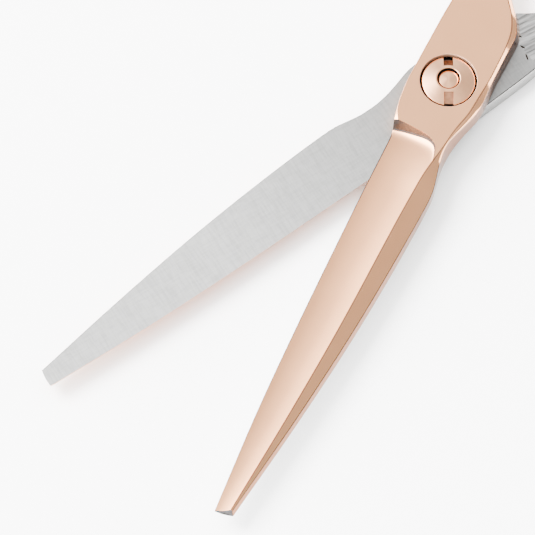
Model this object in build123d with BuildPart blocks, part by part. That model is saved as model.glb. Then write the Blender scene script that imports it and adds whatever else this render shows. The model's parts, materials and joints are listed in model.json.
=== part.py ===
from build123d import *
import math
import os

os.makedirs("parts", exist_ok=True)

# Hair cutting shears, 6.0 inch class, lying open and flat.
# Row frame: +X from the pivot to the blade tips, along the middle of the open blades, +Z up.
# Each half is drawn in its own half frame: x from the pivot to its tip, y negative on its
# cutting side, z away from the mating plane. The thumb half's frame is turned over.

# ---- driving dimensions, millimetres and degrees ----
OPENING = 26.2            # angle between the two blades at rest
HALF_TOP = 3.28           # outer flat of a half, above the mating plane
FACE_GAP = 0.08           # inner face of a half, above the mating plane
PIVOT_X = 11.01           # pivot axis, from the centre of the whole outline
PIVOT_Y = 2.84

RING_INNER = 11.6         # bore of a metal ring
RING_OUTER = 14.9
RING_BORE_ROUND = 1.38    # rounding of the ring's inner corners
RING_RIM_ROUND = 1.6      # rounding of the ring's outer corners
RING_SIDE = -17.0         # ring centre, half frame y
FINGER_RING_BACK = -67.0  # ring centres, half frame x
THUMB_RING_BACK = -57.0

SEAT_R = 4.06             # seat of the tension nut, in the finger half
SEAT_FLOOR = 1.28
BUSH_BORE = 3.0           # hole for the bush, in the finger half
HEAD_SEAT_R = 4.03        # seat of the screw head, in the thumb half
HEAD_FLOOR = 1.76
NECK_R = 2.5              # plain neck of the pivot screw
KEY_HALF = 2.1            # half width over the neck's two flats
RUN_FIT = 0.05            # radial clearance of the running fits
KEY_FIT = 0.03            # clearance of the keyed neck in the thumb half
PRESS_FIT = 0.01          # clearance left between pressed pieces
WASHER_POCKET_R = 4.8     # pocket of the glide washer, in the thumb half
WASHER_FLOOR = 0.48       # its floor, from the mating plane

NUT_R = 3.76
NUT_LOW = 1.74
NUT_RIM = 3.02            # rim of the nut, a little below the boss flat
NUT_CROWN = 3.98          # the nut's cone rises to this at its hole
PIN_R = 1.36              # threaded end of the pivot screw
SLOT_HALF = 0.68          # half width of a spanner slot
SLOT_DEPTH = 0.50         # the slots run down the cone at this depth
SLOT_IN = 2.02            # inner end of a slot, from the axis
NOTCH_IN = 3.36           # from here out a slot drops into a deep notch
NOTCH_FLOOR = 2.00
SLOT_TURN = 39.1          # direction of the nut's slots in the row frame

REST_TURN = 186.0         # where the finger rest leaves its ring, half frame angle
REST_BOSS_IN = 13.5       # the rest's boss starts in the ring wall, from the ring centre
REST_BOSS_OUT = 16.7
REST_BOSS_R = 2.9
REST_BOSS_TAPER = 7.0
REST_LENGTH = 17.0        # length of the rest's curved horn, along its middle
REST_BEND = 21.0          # radius of that curve
REST_STUD_R = 1.45
REST_HOLE_R = 1.5
REST_HOLE_IN = 12.7       # bottom of the rest's hole, from the ring centre

PAD_R = 2.3               # silencer pad
PAD_CLEAR = 0.2           # left between the pad and the thumb ring, closed
STUD_R = 1.0              # silencer stud
STUD_HOLE_IN = 12.6       # bottom of the stud's hole, from the ring centre

# ---- frames ----
half_turn = OPENING / 2
pivot = Vector(PIVOT_X, PIVOT_Y, HALF_TOP)
turn = math.radians(half_turn)
finger_base = Plane(origin=pivot, x_dir=(math.cos(turn), math.sin(turn), 0), z_dir=(0, 0, 1))
thumb_base = Plane(origin=pivot, x_dir=(math.cos(turn), -math.sin(turn), 0), z_dir=(0, 0, -1))
pivot_base = Plane(origin=pivot, x_dir=(1, 0, 0), z_dir=(0, 0, 1))
nut_base = Plane(
    origin=pivot,
    x_dir=(math.cos(math.radians(SLOT_TURN)), math.sin(math.radians(SLOT_TURN)), 0),
    z_dir=(0, 0, 1),
)


def upright(base, x, y, z, heading):
    """Plane standing at (x, y, z) of base: its normal is level, at the heading angle."""
    a = math.radians(heading)
    ahead = base.x_dir * math.cos(a) + base.y_dir * math.sin(a)
    left = base.y_dir * math.cos(a) - base.x_dir * math.sin(a)
    return Plane(origin=base.from_local_coords(Vector(x, y, z)), x_dir=left, z_dir=ahead)


def axis_at(base, x, y):
    """Axis through (x, y) of base, along its normal."""
    return Axis(base.from_local_coords(Vector(x, y, 0)), base.z_dir)


def polar_point(ring_x, angle, reach):
    """Half frame point at a distance and angle from the ring centre."""
    a = math.radians(angle)
    return ring_x + reach * math.cos(a), RING_SIDE + reach * math.sin(a)


def smooth_row(table, at):
    """Row of a table at a place between its rows, on smooth curves through them."""
    keys = [row[0] for row in table]
    last = len(table) - 1
    i = min(max(sum(key <= at for key in keys) - 1, 0), last - 1)

    def slope(n, column):
        before, after = max(n - 1, 0), min(n + 1, last)
        steps = [(before, n), (n, after)]
        rates = [(table[q][column] - table[p][column]) / (keys[q] - keys[p]) for p, q in steps if q > p]
        return sum(rates) / len(rates)

    span = keys[i + 1] - keys[i]
    s = (at - keys[i]) / span
    row = []
    for column in range(1, len(table[0])):
        start, end = table[i][column], table[i + 1][column]
        leaving = slope(i, column) * span
        arriving = slope(i + 1, column) * span
        between = start * (2 * s**3 - 3 * s * s + 1) + end * (3 * s * s - 2 * s**3)
        row.append(between + leaving * (s**3 - 2 * s * s + s) + arriving * (s**3 - s * s))
    return row


# ---- blade and boss, in the half frame ----
# Station x, cutting edge y, ridge y and z, shoulder y and z, spine y.
BLADE = [
    (5.5, -4.92, 3.70, 3.22, 4.00, 2.80, 4.75),
    (9.3, -4.22, 3.72, 3.22, 3.92, 2.95, 4.45),
    (13.0, -4.06, 3.15, 3.12, 4.50, 2.28, 4.72),
    (17.5, -4.00, 2.82, 2.95, 5.18, 1.75, 5.36),
    (25.0, -3.86, 2.64, 2.80, 4.98, 1.55, 5.25),
    (40.0, -3.45, 2.35, 2.40, 4.14, 1.35, 4.45),
    (55.0, -2.80, 1.62, 1.90, 2.70, 1.22, 3.00),
    (71.2, -1.60, 0.48, 1.32, 0.66, 1.15, 1.00),
]
BLADE_STEPS = 18          # even steps of the blade's loft
EDGE_LAND = 0.25          # thickness of a blade at its cutting edge
HOLLOW_SAG = 0.05         # depth of the hollow, as a share of its width
CHAMFER_SIDE = 0.75       # chamfer of the boss flat on its spine side
CHAMFER_DOWN = 0.55
CHAMFER_SMALL = 0.18      # chamfer of the boss flat on its cutting side

BOSS_CUT_SIDE = [(-16.9, -4.55), (-12.0, -4.91), (-5.0, -5.17), (1.0, -5.25), (5.0, -5.03), (8.6, -4.38)]
BOSS_SPINE_SIDE = [
    (8.8, 4.55),
    (5.3, 5.18),
    (2.8, 5.85),
    (0.4, 6.03),
    (-4.4, 5.87),
    (-10.2, 5.98),
    (-12.3, 5.50),
    (-14.3, 4.33),
    (-16.9, 2.20),
]
HEEL_MIDDLE = (8.85, 0.6) # the hollow grind's heel runs through this point

# Share of the way to the ring, width, lowest z, highest z.
SHANK = [
    (0.00, 6.8, 0.10, 3.20),
    (0.20, 6.6, 0.08, 3.24),
    (0.40, 6.1, 0.08, 3.15),
    (0.55, 5.9, -1.40, 3.00),
    (0.70, 5.9, -2.50, 2.90),
    (0.85, 5.6, -2.90, 2.90),
    (1.00, 3.0, -2.90, 2.90),
]
SHANK_STEPS = 12          # even steps of the shank's loft
SHANK_ROUND = 0.42        # corner rounding, as a share of the smaller side
SHANK_START = (-13.5, -1.4)
SHANK_START_LEAD = (-11.5, -1.6)
SHANK_AIM = 62.0          # where the shank ends inside the ring wall, angle at the ring centre
SHANK_END = 13.2
SHANK_END_LEAD = (14.0, -0.1)
THROUGH = 10.0            # length of a cutter that passes right through a half


def shank_point(ring_x, share):
    """Point and heading of the shank's middle line, a cubic Bezier curve."""
    start = Vector(*SHANK_START)
    end = Vector(*polar_point(ring_x, SHANK_AIM, SHANK_END))
    p = [start, start + Vector(*SHANK_START_LEAD), end + Vector(*SHANK_END_LEAD), end]
    s = 1 - share
    at = p[0] * s**3 + p[1] * 3 * s * s * share + p[2] * 3 * s * share**2 + p[3] * share**3
    run = (p[1] - p[0]) * s * s + (p[2] - p[1]) * 2 * s * share + (p[3] - p[2]) * share**2
    heading = math.degrees(math.atan2(-run.Y, -run.X))
    return at.X, at.Y, heading


def make_half(base, ring_x):
    """One forged half: boss, blade, shank and ring, as one solid, with no holes yet."""
    with BuildPart() as half:
        # boss plate
        with BuildSketch(base.offset(FACE_GAP)):
            with BuildLine():
                Spline(*BOSS_CUT_SIDE)
                ThreePointArc(BOSS_CUT_SIDE[-1], HEEL_MIDDLE, BOSS_SPINE_SIDE[0])
                Spline(*BOSS_SPINE_SIDE)
                Line(BOSS_SPINE_SIDE[-1], BOSS_CUT_SIDE[0])
            make_face()
        extrude(amount=HALF_TOP - FACE_GAP)
        outward = Axis(base.origin, base.z_dir)
        top_edges = half.faces().sort_by(outward)[-1].edges()
        sides = top_edges.sort_by(Axis(base.origin, base.y_dir))
        chamfer(sides[-1], length=CHAMFER_DOWN, length2=CHAMFER_SIDE)
        low_edges = half.faces().sort_by(outward)[-1].edges().sort_by(Axis(base.origin, base.y_dir))
        chamfer(low_edges[0], length=CHAMFER_SMALL)
        # hollow ground blade
        for step in range(BLADE_STEPS + 1):
            x = BLADE[0][0] + (BLADE[-1][0] - BLADE[0][0]) * step / BLADE_STEPS
            edge_y, ridge_y, ridge_z, shoulder_y, shoulder_z, spine_y = smooth_row(BLADE, x)
            low = (edge_y, FACE_GAP)
            land = (edge_y, FACE_GAP + EDGE_LAND)
            ridge = (ridge_y, ridge_z)
            mid_y = (ridge_y + edge_y) / 2 + HOLLOW_SAG * (ridge_z - land[1])
            mid_z = (ridge_z + land[1]) / 2 - HOLLOW_SAG * (ridge_y - edge_y)
            with BuildSketch(upright(base, x, 0, 0, 0)):
                with BuildLine():
                    Line(low, land)
                    ThreePointArc(land, (mid_y, mid_z), ridge)
                    Line(ridge, (shoulder_y, shoulder_z))
                    Line((shoulder_y, shoulder_z), (spine_y, FACE_GAP))
                    Line((spine_y, FACE_GAP), low)
                make_face()
        loft()
        # shank, from the boss into the ring wall
        for step in range(SHANK_STEPS + 1):
            share = step / SHANK_STEPS
            x, y, heading = shank_point(ring_x, share)
            width, low_z, high_z = smooth_row(SHANK, share)
            height = high_z - low_z
            with BuildSketch(upright(base, x, y, (low_z + high_z) / 2, heading)):
                RectangleRounded(width, height, SHANK_ROUND * min(width, height))
        loft()
        # ring
        with BuildSketch(upright(base, ring_x, RING_SIDE, 0, 90)):
            with BuildLine():
                flat_in = RING_INNER + RING_BORE_ROUND
                flat_out = RING_OUTER - RING_RIM_ROUND
                bore_z = HALF_TOP - RING_BORE_ROUND
                rim_z = HALF_TOP - RING_RIM_ROUND
                Line((RING_INNER, -bore_z), (RING_INNER, bore_z))
                RadiusArc((RING_INNER, bore_z), (flat_in, HALF_TOP), RING_BORE_ROUND)
                Line((flat_in, HALF_TOP), (flat_out, HALF_TOP))
                RadiusArc((flat_out, HALF_TOP), (RING_OUTER, rim_z), RING_RIM_ROUND)
                Line((RING_OUTER, rim_z), (RING_OUTER, -rim_z))
                RadiusArc((RING_OUTER, -rim_z), (flat_out, -HALF_TOP), RING_RIM_ROUND)
                Line((flat_out, -HALF_TOP), (flat_in, -HALF_TOP))
                RadiusArc((flat_in, -HALF_TOP), (RING_INNER, -bore_z), RING_BORE_ROUND)
            make_face()
        revolve(axis=axis_at(base, ring_x, RING_SIDE), revolution_arc=360)
    return half


# ---- finger half: upper half at rest, with the nut's seat and the finger rest's boss ----
plain_finger = make_half(finger_base, FINGER_RING_BACK)
closed_gap = Vector(THUMB_RING_BACK, -RING_SIDE) - Vector(FINGER_RING_BACK, RING_SIDE)
PAD_TURN = math.degrees(math.atan2(closed_gap.Y, closed_gap.X))
with BuildPart() as finger_half:
    add(plain_finger.part)
    rest_root = polar_point(FINGER_RING_BACK, REST_TURN, REST_BOSS_IN)
    with BuildSketch(upright(finger_base, *rest_root, 0, REST_TURN)):
        Circle(REST_BOSS_R)
    extrude(amount=REST_BOSS_OUT - REST_BOSS_IN, taper=REST_BOSS_TAPER)
    with BuildSketch(finger_base.offset(SEAT_FLOOR)):
        Circle(SEAT_R)
    extrude(amount=THROUGH, mode=Mode.SUBTRACT)
    with BuildSketch(finger_base):
        Circle(BUSH_BORE)
    extrude(amount=THROUGH, mode=Mode.SUBTRACT)
    rest_hole = polar_point(FINGER_RING_BACK, REST_TURN, REST_HOLE_IN)
    with BuildSketch(upright(finger_base, *rest_hole, 0, REST_TURN)):
        Circle(REST_HOLE_R)
    extrude(amount=THROUGH, mode=Mode.SUBTRACT)
    stud_hole = polar_point(FINGER_RING_BACK, PAD_TURN, STUD_HOLE_IN)
    with BuildSketch(upright(finger_base, *stud_hole, 0, PAD_TURN)):
        Circle(STUD_R + PRESS_FIT)
    extrude(amount=THROUGH, mode=Mode.SUBTRACT)
finger_half.part.label = "finger_half"
export_step(finger_half.part, "parts/finger_half.step")

# ---- thumb half: lower half at rest, keyed to the pivot screw ----
plain_thumb = make_half(thumb_base, THUMB_RING_BACK)
with BuildPart() as thumb_half:
    add(plain_thumb.part)
    with BuildSketch(thumb_base.offset(HEAD_FLOOR)):
        Circle(HEAD_SEAT_R)
    extrude(amount=THROUGH, mode=Mode.SUBTRACT)
    with BuildSketch(thumb_base):
        Circle(WASHER_POCKET_R)
    extrude(amount=WASHER_FLOOR, mode=Mode.SUBTRACT)
    with BuildSketch(thumb_base):
        Circle(NECK_R + KEY_FIT)
        Rectangle(2 * (KEY_HALF + KEY_FIT), 4 * NECK_R, mode=Mode.INTERSECT)
    extrude(amount=THROUGH, mode=Mode.SUBTRACT)
thumb_half.part.label = "thumb_half"
export_step(thumb_half.part, "parts/thumb_half.step")

# ---- pivot screw: head under the thumb half, neck through both halves, threaded end ----
HEAD_R = 4.0
HEAD_OUT = -HALF_TOP + 0.02
HEAD_IN = -HEAD_FLOOR - 0.01
HEAD_BEVEL = 0.2
NECK_TOP = 1.30
PIN_TOP = 3.57
CONE_TOP = 3.95
CONE_TIP_R = 0.12
SOCKET_HALF = 1.25        # half width over the flats of the hex socket
SOCKET_DEPTH = 1.1
with BuildPart() as pivot_screw:
    with BuildSketch(pivot_base.offset(HEAD_OUT)):
        Circle(HEAD_R)
    extrude(amount=HEAD_IN - HEAD_OUT)
    head_rim = pivot_screw.edges().filter_by(GeomType.CIRCLE).sort_by(Axis.Z)[0]
    chamfer(head_rim, length=HEAD_BEVEL)
    with BuildSketch(pivot_base.offset(HEAD_IN)):
        Circle(NECK_R)
        Rectangle(2 * KEY_HALF, 4 * NECK_R, rotation=-half_turn, mode=Mode.INTERSECT)
    extrude(amount=-WASHER_FLOOR - HEAD_IN)
    with BuildSketch(pivot_base.offset(-WASHER_FLOOR)):
        Circle(NECK_R)
    extrude(amount=NECK_TOP + WASHER_FLOOR)
    with BuildSketch(pivot_base.offset(NECK_TOP)):
        Circle(PIN_R)
    extrude(amount=PIN_TOP - NECK_TOP)
    with BuildSketch(pivot_base.offset(PIN_TOP)):
        Circle(PIN_R)
    with BuildSketch(pivot_base.offset(CONE_TOP)):
        Circle(CONE_TIP_R)
    loft()
    with BuildSketch(pivot_base.offset(HEAD_OUT)):
        RegularPolygon(SOCKET_HALF, 6, major_radius=False)
    extrude(amount=SOCKET_DEPTH, mode=Mode.SUBTRACT)
pivot_screw.part.label = "pivot_screw"
export_step(pivot_screw.part, "parts/pivot_screw.step")

# ---- tension nut: a round nut with a conical face and two spanner slots ----
NUT_THREAD_R = PIN_R + RUN_FIT
NUT_RELIEF_R = 1.62
NUT_RELIEF_LOW = 2.60
NUT_RELIEF_RUN = 0.2      # height of the step from the thread to its relief
NUT_BEVEL = 0.08
CONE_FALL = (NUT_CROWN - NUT_RIM) / (NUT_R - NUT_RELIEF_R - 2 * NUT_BEVEL)
slot_top = NUT_CROWN - (SLOT_IN - NUT_RELIEF_R - NUT_BEVEL) * CONE_FALL
with BuildPart() as tension_nut:
    with BuildSketch(Plane(origin=pivot, x_dir=(1, 0, 0), z_dir=(0, -1, 0))):
        with BuildLine():
            Polyline(
                (NUT_THREAD_R, NUT_LOW),
                (NUT_R, NUT_LOW),
                (NUT_R, NUT_RIM - NUT_BEVEL),
                (NUT_R - NUT_BEVEL, NUT_RIM),
                (NUT_RELIEF_R + NUT_BEVEL, NUT_CROWN),
                (NUT_RELIEF_R, NUT_CROWN - NUT_BEVEL),
                (NUT_RELIEF_R, NUT_RELIEF_LOW),
                (NUT_THREAD_R, NUT_RELIEF_LOW - NUT_RELIEF_RUN),
                close=True,
            )
        make_face()
    revolve(axis=Axis(pivot, (0, 0, 1)), revolution_arc=360)
    for nut_side in (SLOT_TURN, SLOT_TURN + 180):
        with BuildSketch(upright(pivot_base, 0, 0, 0, nut_side - 90)):
            with BuildLine():
                Polyline(
                    (SLOT_IN, THROUGH),
                    (SLOT_IN, slot_top - SLOT_DEPTH),
                    (NOTCH_IN, slot_top - SLOT_DEPTH - (NOTCH_IN - SLOT_IN) * CONE_FALL),
                    (NOTCH_IN, NOTCH_FLOOR),
                    (THROUGH, NOTCH_FLOOR),
                    (THROUGH, THROUGH),
                    close=True,
                )
            make_face()
        extrude(amount=SLOT_HALF, both=True, mode=Mode.SUBTRACT)
tension_nut.part.label = "tension_nut"
export_step(tension_nut.part, "parts/tension_nut.step")


def ring_washer(name, inner, outer, low, high):
    """Flat washer on the pivot axis, between two heights above the mating plane."""
    with BuildPart() as washer:
        with BuildSketch(pivot_base.offset(low)):
            Circle(outer)
            Circle(inner, mode=Mode.SUBTRACT)
        extrude(amount=high - low)
    washer.part.label = name
    export_step(washer.part, f"parts/{name}.step")
    return washer


# ---- pivot stack: bush in the finger half, washers above and below it ----
BUSH_END_GAP = 0.02       # left at each end of the bush
GLIDE_INNER = NECK_R + 0.04
GLIDE_OUTER = WASHER_POCKET_R - 0.05
GLIDE_LOW = -WASHER_FLOOR + 0.01
GLIDE_HIGH = FACE_GAP - 0.03
FRICTION_INNER = PIN_R + 0.15
FRICTION_OUTER = 3.7
FRICTION_LOW = 1.55
FRICTION_HIGH = NUT_LOW - 0.03
pivot_bush = ring_washer(
    "pivot_bush", NECK_R + RUN_FIT, BUSH_BORE - PRESS_FIT, FACE_GAP + BUSH_END_GAP, SEAT_FLOOR - BUSH_END_GAP
)
glide_washer = ring_washer("glide_washer", GLIDE_INNER, GLIDE_OUTER, GLIDE_LOW, GLIDE_HIGH)
friction_washer = ring_washer("friction_washer", FRICTION_INNER, FRICTION_OUTER, FRICTION_LOW, FRICTION_HIGH)

# ---- disc spring: a shallow steel cone under the friction washer ----
SPRING_T = 0.13
SPRING_INNER = 1.65
SPRING_OUTER = 3.65
SPRING_LOW_IN = 1.40
SPRING_LOW_OUT = 1.32
with BuildPart() as disc_spring:
    with BuildSketch(Plane(origin=pivot, x_dir=(1, 0, 0), z_dir=(0, -1, 0))):
        with BuildLine():
            Polyline(
                (SPRING_INNER, SPRING_LOW_IN),
                (SPRING_OUTER, SPRING_LOW_OUT),
                (SPRING_OUTER, SPRING_LOW_OUT + SPRING_T),
                (SPRING_INNER, SPRING_LOW_IN + SPRING_T),
                close=True,
            )
        make_face()
    revolve(axis=Axis(pivot, (0, 0, 1)), revolution_arc=360)
disc_spring.part.label = "disc_spring"
export_step(disc_spring.part, "parts/disc_spring.step")

# ---- soft sizing inserts, snapped into both rings ----
INSERT_FIT = 0.03
INSERT_LIP_TURN = 48.0    # how far the lip wraps over the ring's rounded corner
INSERT_BORE = 10.3
INSERT_LIP_TOP = (11.35, 3.12)    # the lip's inner corner: distance from the ring's axis, height
INSERT_CROWN = (10.58, 2.25)      # the crowned bore runs through this point


def make_insert(name, base, ring_x):
    """Sizing insert: a crowned tube whose lips wrap over the ring's inner corners."""
    outer = RING_INNER - INSERT_FIT
    wrap = RING_BORE_ROUND + INSERT_FIT
    bore_z = HALF_TOP - RING_BORE_ROUND
    a = math.radians(INSERT_LIP_TURN)
    centre_r = RING_INNER + RING_BORE_ROUND
    half_way = (centre_r - wrap * math.cos(a / 2), bore_z + wrap * math.sin(a / 2))
    lip = (centre_r - wrap * math.cos(a), bore_z + wrap * math.sin(a))
    with BuildPart() as insert:
        with BuildSketch(upright(base, ring_x, RING_SIDE, 0, 90)):
            with BuildLine():
                Line((outer, 0), (outer, bore_z))
                ThreePointArc((outer, bore_z), half_way, lip)
                Line(lip, INSERT_LIP_TOP)
                ThreePointArc(INSERT_LIP_TOP, INSERT_CROWN, (INSERT_BORE, 0))
                Line((INSERT_BORE, 0), (outer, 0))
            make_face()
            mirror(about=Plane.XZ)
        revolve(axis=axis_at(base, ring_x, RING_SIDE), revolution_arc=360)
    insert.part.label = name
    export_step(insert.part, f"parts/{name}.step")
    return insert


finger_insert = make_insert("finger_ring_insert", finger_base, FINGER_RING_BACK)
thumb_insert = make_insert("thumb_ring_insert", thumb_base, THUMB_RING_BACK)

# ---- finger rest: a curved horn with a threaded stud, screwed into the finger ring ----
# Share of the horn's length, then its radius there.
REST_RADII = [(0.0, 2.35), (0.12, 2.2), (0.45, 1.75), (0.8, 1.85), (1.0, 1.7)]
REST_FOOT = REST_BOSS_OUT + 0.03
REST_STUD_IN = REST_HOLE_IN + 0.15


def rest_point(share):
    """Point and heading on the horn's middle line, an arc that bends away from the thumb."""
    swept = share * REST_LENGTH / REST_BEND
    start = math.radians(REST_TURN)
    foot = polar_point(FINGER_RING_BACK, REST_TURN, REST_FOOT)
    forward = REST_BEND * math.sin(swept)
    aside = REST_BEND * (1 - math.cos(swept))
    x = foot[0] + forward * math.cos(start) - aside * math.sin(start)
    y = foot[1] + forward * math.sin(start) + aside * math.cos(start)
    return x, y, REST_TURN + math.degrees(swept)


with BuildPart() as finger_rest:
    for share, radius in REST_RADII:
        x, y, heading = rest_point(share)
        with BuildSketch(upright(finger_base, x, y, 0, heading)):
            Circle(radius)
    loft()
    tip_x, tip_y, tip_heading = rest_point(1.0)
    with Locations(finger_base.from_local_coords(Vector(tip_x, tip_y, 0))):
        Sphere(REST_RADII[-1][1])
    stud_root = polar_point(FINGER_RING_BACK, REST_TURN, REST_STUD_IN)
    with BuildSketch(upright(finger_base, *stud_root, 0, REST_TURN)):
        Circle(REST_STUD_R)
    extrude(amount=REST_FOOT + 0.15 - REST_STUD_IN)
finger_rest.part.label = "finger_rest"
export_step(finger_rest.part, "parts/finger_rest.step")

# ---- silencer: a metal stud in the finger ring and the soft pad pressed on it ----
PAD_FOOT = RING_OUTER + 0.04
PAD_FACE = closed_gap.length - RING_OUTER - PAD_CLEAR
PAD_ROUND = 0.9
STUD_IN = STUD_HOLE_IN + 0.1
STUD_LENGTH = 5.44
PAD_HOLE_DEPTH = STUD_IN + STUD_LENGTH - PAD_FOOT + 0.05
stud_in = polar_point(FINGER_RING_BACK, PAD_TURN, STUD_IN)
pad_in = polar_point(FINGER_RING_BACK, PAD_TURN, PAD_FOOT)
with BuildPart() as silencer_stud:
    with BuildSketch(upright(finger_base, *stud_in, 0, PAD_TURN)):
        Circle(STUD_R)
    extrude(amount=STUD_LENGTH)
silencer_stud.part.label = "silencer_stud"
export_step(silencer_stud.part, "parts/silencer_stud.step")

with BuildPart() as silencer_pad:
    with BuildSketch(upright(finger_base, *pad_in, 0, PAD_TURN)):
        Circle(PAD_R)
    extrude(amount=PAD_FACE - PAD_FOOT)
    pad_axis = Axis((0, 0, 0), upright(finger_base, *pad_in, 0, PAD_TURN).z_dir)
    fillet(silencer_pad.edges().sort_by(pad_axis)[-1], radius=PAD_ROUND)
    with BuildSketch(upright(finger_base, *pad_in, 0, PAD_TURN)):
        Circle(STUD_R + PRESS_FIT)
    extrude(amount=PAD_HOLE_DEPTH, mode=Mode.SUBTRACT)
silencer_pad.part.label = "silencer_pad"
export_step(silencer_pad.part, "parts/silencer_pad.step")
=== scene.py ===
import json
import math

import bmesh
import bpy
from mathutils import Matrix, Vector


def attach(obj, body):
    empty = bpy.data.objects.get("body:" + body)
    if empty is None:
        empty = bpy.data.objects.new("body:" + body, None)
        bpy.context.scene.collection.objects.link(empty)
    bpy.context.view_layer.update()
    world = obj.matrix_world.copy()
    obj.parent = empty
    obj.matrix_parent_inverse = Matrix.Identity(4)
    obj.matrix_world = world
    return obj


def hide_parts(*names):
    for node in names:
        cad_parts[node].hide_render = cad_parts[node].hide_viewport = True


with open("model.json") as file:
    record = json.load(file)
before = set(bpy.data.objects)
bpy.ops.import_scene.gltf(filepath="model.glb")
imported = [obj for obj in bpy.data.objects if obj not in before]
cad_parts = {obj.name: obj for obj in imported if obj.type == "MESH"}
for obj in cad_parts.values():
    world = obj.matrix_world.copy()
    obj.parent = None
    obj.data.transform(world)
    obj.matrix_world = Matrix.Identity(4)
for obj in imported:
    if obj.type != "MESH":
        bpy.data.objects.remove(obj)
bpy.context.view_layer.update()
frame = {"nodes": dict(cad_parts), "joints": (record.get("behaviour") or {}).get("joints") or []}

MM = 0.001

# ---- where the pivot is and how far the blades stand open ----
blade_joint = next(j for j in frame["joints"] if j["name"] == "blade_pivot")
PIVOT = Vector(blade_joint["pos_m"])
OPENING = -blade_joint["range_deg"][0]

# ---- camera ----
CAMERA_BEARING = 39.1  # degrees, from the middle of the open blades
CAMERA_ELEVATION = 67.0
CAMERA_DISTANCE = 0.7
CAMERA_LENS = 339.1
TARGET_AHEAD = 37.12 * MM  # the picture's centre, from the pivot
TARGET_ASIDE = -2.58 * MM


def looking_object(name, data, away, distance):
    """Object that looks at the middle of the picture from a direction."""
    made = bpy.data.objects.new(name, data)
    made.location = target + away * distance
    made.rotation_mode = "QUATERNION"
    made.rotation_quaternion = (-away).to_track_quat("-Z", "Y")
    bpy.context.scene.collection.objects.link(made)
    return made


bearing = math.radians(CAMERA_BEARING)
elevation = math.radians(CAMERA_ELEVATION)
target = PIVOT + Vector((TARGET_AHEAD, TARGET_ASIDE, 0))
level = Vector((math.cos(bearing), math.sin(bearing), 0))
back = level * math.cos(elevation) + Vector((0, 0, math.sin(elevation)))
camera_data = bpy.data.cameras.new("camera")
camera_data.lens = CAMERA_LENS
camera_data.sensor_width = 36.0
camera_data.clip_start = 0.05
camera_data.clip_end = 10.0
bpy.context.scene.camera = looking_object("camera", camera_data, back, CAMERA_DISTANCE)
picture_right = Vector((-math.sin(bearing), math.cos(bearing), 0))
picture_up = -level

# ---- light ----
def area_light(name, direction, distance, size, power):
    """Square softbox that does not show in the metal."""
    data = bpy.data.lights.new(name, "AREA")
    data.size = size
    data.energy = power
    looking_object(name, data, direction.normalized(), distance).visible_glossy = False


up = Vector((0, 0, 1))
area_light("key", -picture_right + up * 1.5 + picture_up * 0.5, 1.3, 0.7, 104.0)
area_light("fill", up + picture_up * 0.2, 1.5, 1.8, 74.0)

floor_data = bpy.data.meshes.new("floor")
floor_data.from_pydata([(-3, -3, 0), (3, -3, 0), (3, 3, 0), (-3, 3, 0)], [], [(0, 1, 2, 3)])
floor = bpy.data.objects.new("floor", floor_data)
bpy.context.scene.collection.objects.link(floor)


# ---- half frames, in millimetres ----
def half_frame(side):
    """Frame of a half: x from pivot to tip, y negative on the cutting side, z away from the mating plane."""
    turn = math.radians(OPENING / 2)
    x_dir = Vector((math.cos(turn), side * math.sin(turn), 0))
    z_dir = Vector((0, 0, side))
    y_dir = z_dir.cross(x_dir)
    rows = [[x_dir[i], y_dir[i], z_dir[i], PIVOT[i]] for i in range(3)]
    return Matrix([*rows, [0, 0, 0, 1]]) @ Matrix.Scale(MM, 4)


FINGER_FRAME = half_frame(1)
THUMB_FRAME = half_frame(-1)
FINGER_RING_X = -67.0
THUMB_RING_X = -57.0
RING_Y = -17.0


def along(table, at, column=1):
    """Value of a column between a table's rows, on a smooth curve that does not overshoot."""
    keys = [row[0] for row in table]
    values = [row[column] for row in table]
    last = len(keys) - 1
    if at <= keys[0]:
        return values[0]
    if at >= keys[last]:
        return values[last]
    i = max(k for k in range(last) if keys[k] <= at)

    def rate(k):
        return (values[k + 1] - values[k]) / (keys[k + 1] - keys[k])

    def slope(k):
        if k == 0:
            return rate(0)
        if k == last:
            return rate(last - 1)
        before, after = rate(k - 1), rate(k)
        if before * after <= 0:
            return 0.0
        near, far = keys[k] - keys[k - 1], keys[k + 1] - keys[k]
        mean = (before * far + after * near) / (near + far)
        limit = 3 * min(abs(before), abs(after))
        return max(-limit, min(limit, mean))

    span = keys[i + 1] - keys[i]
    s = (at - keys[i]) / span
    return (
        values[i] * (2 * s**3 - 3 * s * s + 1)
        + values[i + 1] * (3 * s * s - 2 * s**3)
        + slope(i) * span * (s**3 - 2 * s * s + s)
        + slope(i + 1) * span * (s**3 - s * s)
    )


def ease(value, start, end):
    """Smooth step from 0 at start to 1 at end."""
    s = max(0.0, min(1.0, (value - start) / (end - start)))
    return s * s * (3 - 2 * s)


def mix(a, b, share):
    """Value a share of the way from a to b."""
    return a + (b - a) * share


# ---- one forged half: boss and blade lines, half frame millimetres ----
BOSS_END = -16.9  # x of both ends of what the tables below describe
TIP = 71.2
INNER_Z = 0.08  # the inner face stands this far off the mating plane
FLAT_Z = 3.28  # top of the boss
LAND_Z = 0.33  # top of the cutting edge's wall on the blade
HOLLOW_SAG = 0.05  # depth of the hollow grind as a share of its width
# Top of the boss wall on the cutting side.
WALL_Z = [(BOSS_END, 2.95), (-12.0, 3.2), (6.0, 3.2), (7.4, 3.02), (8.8, 2.74)]

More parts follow.
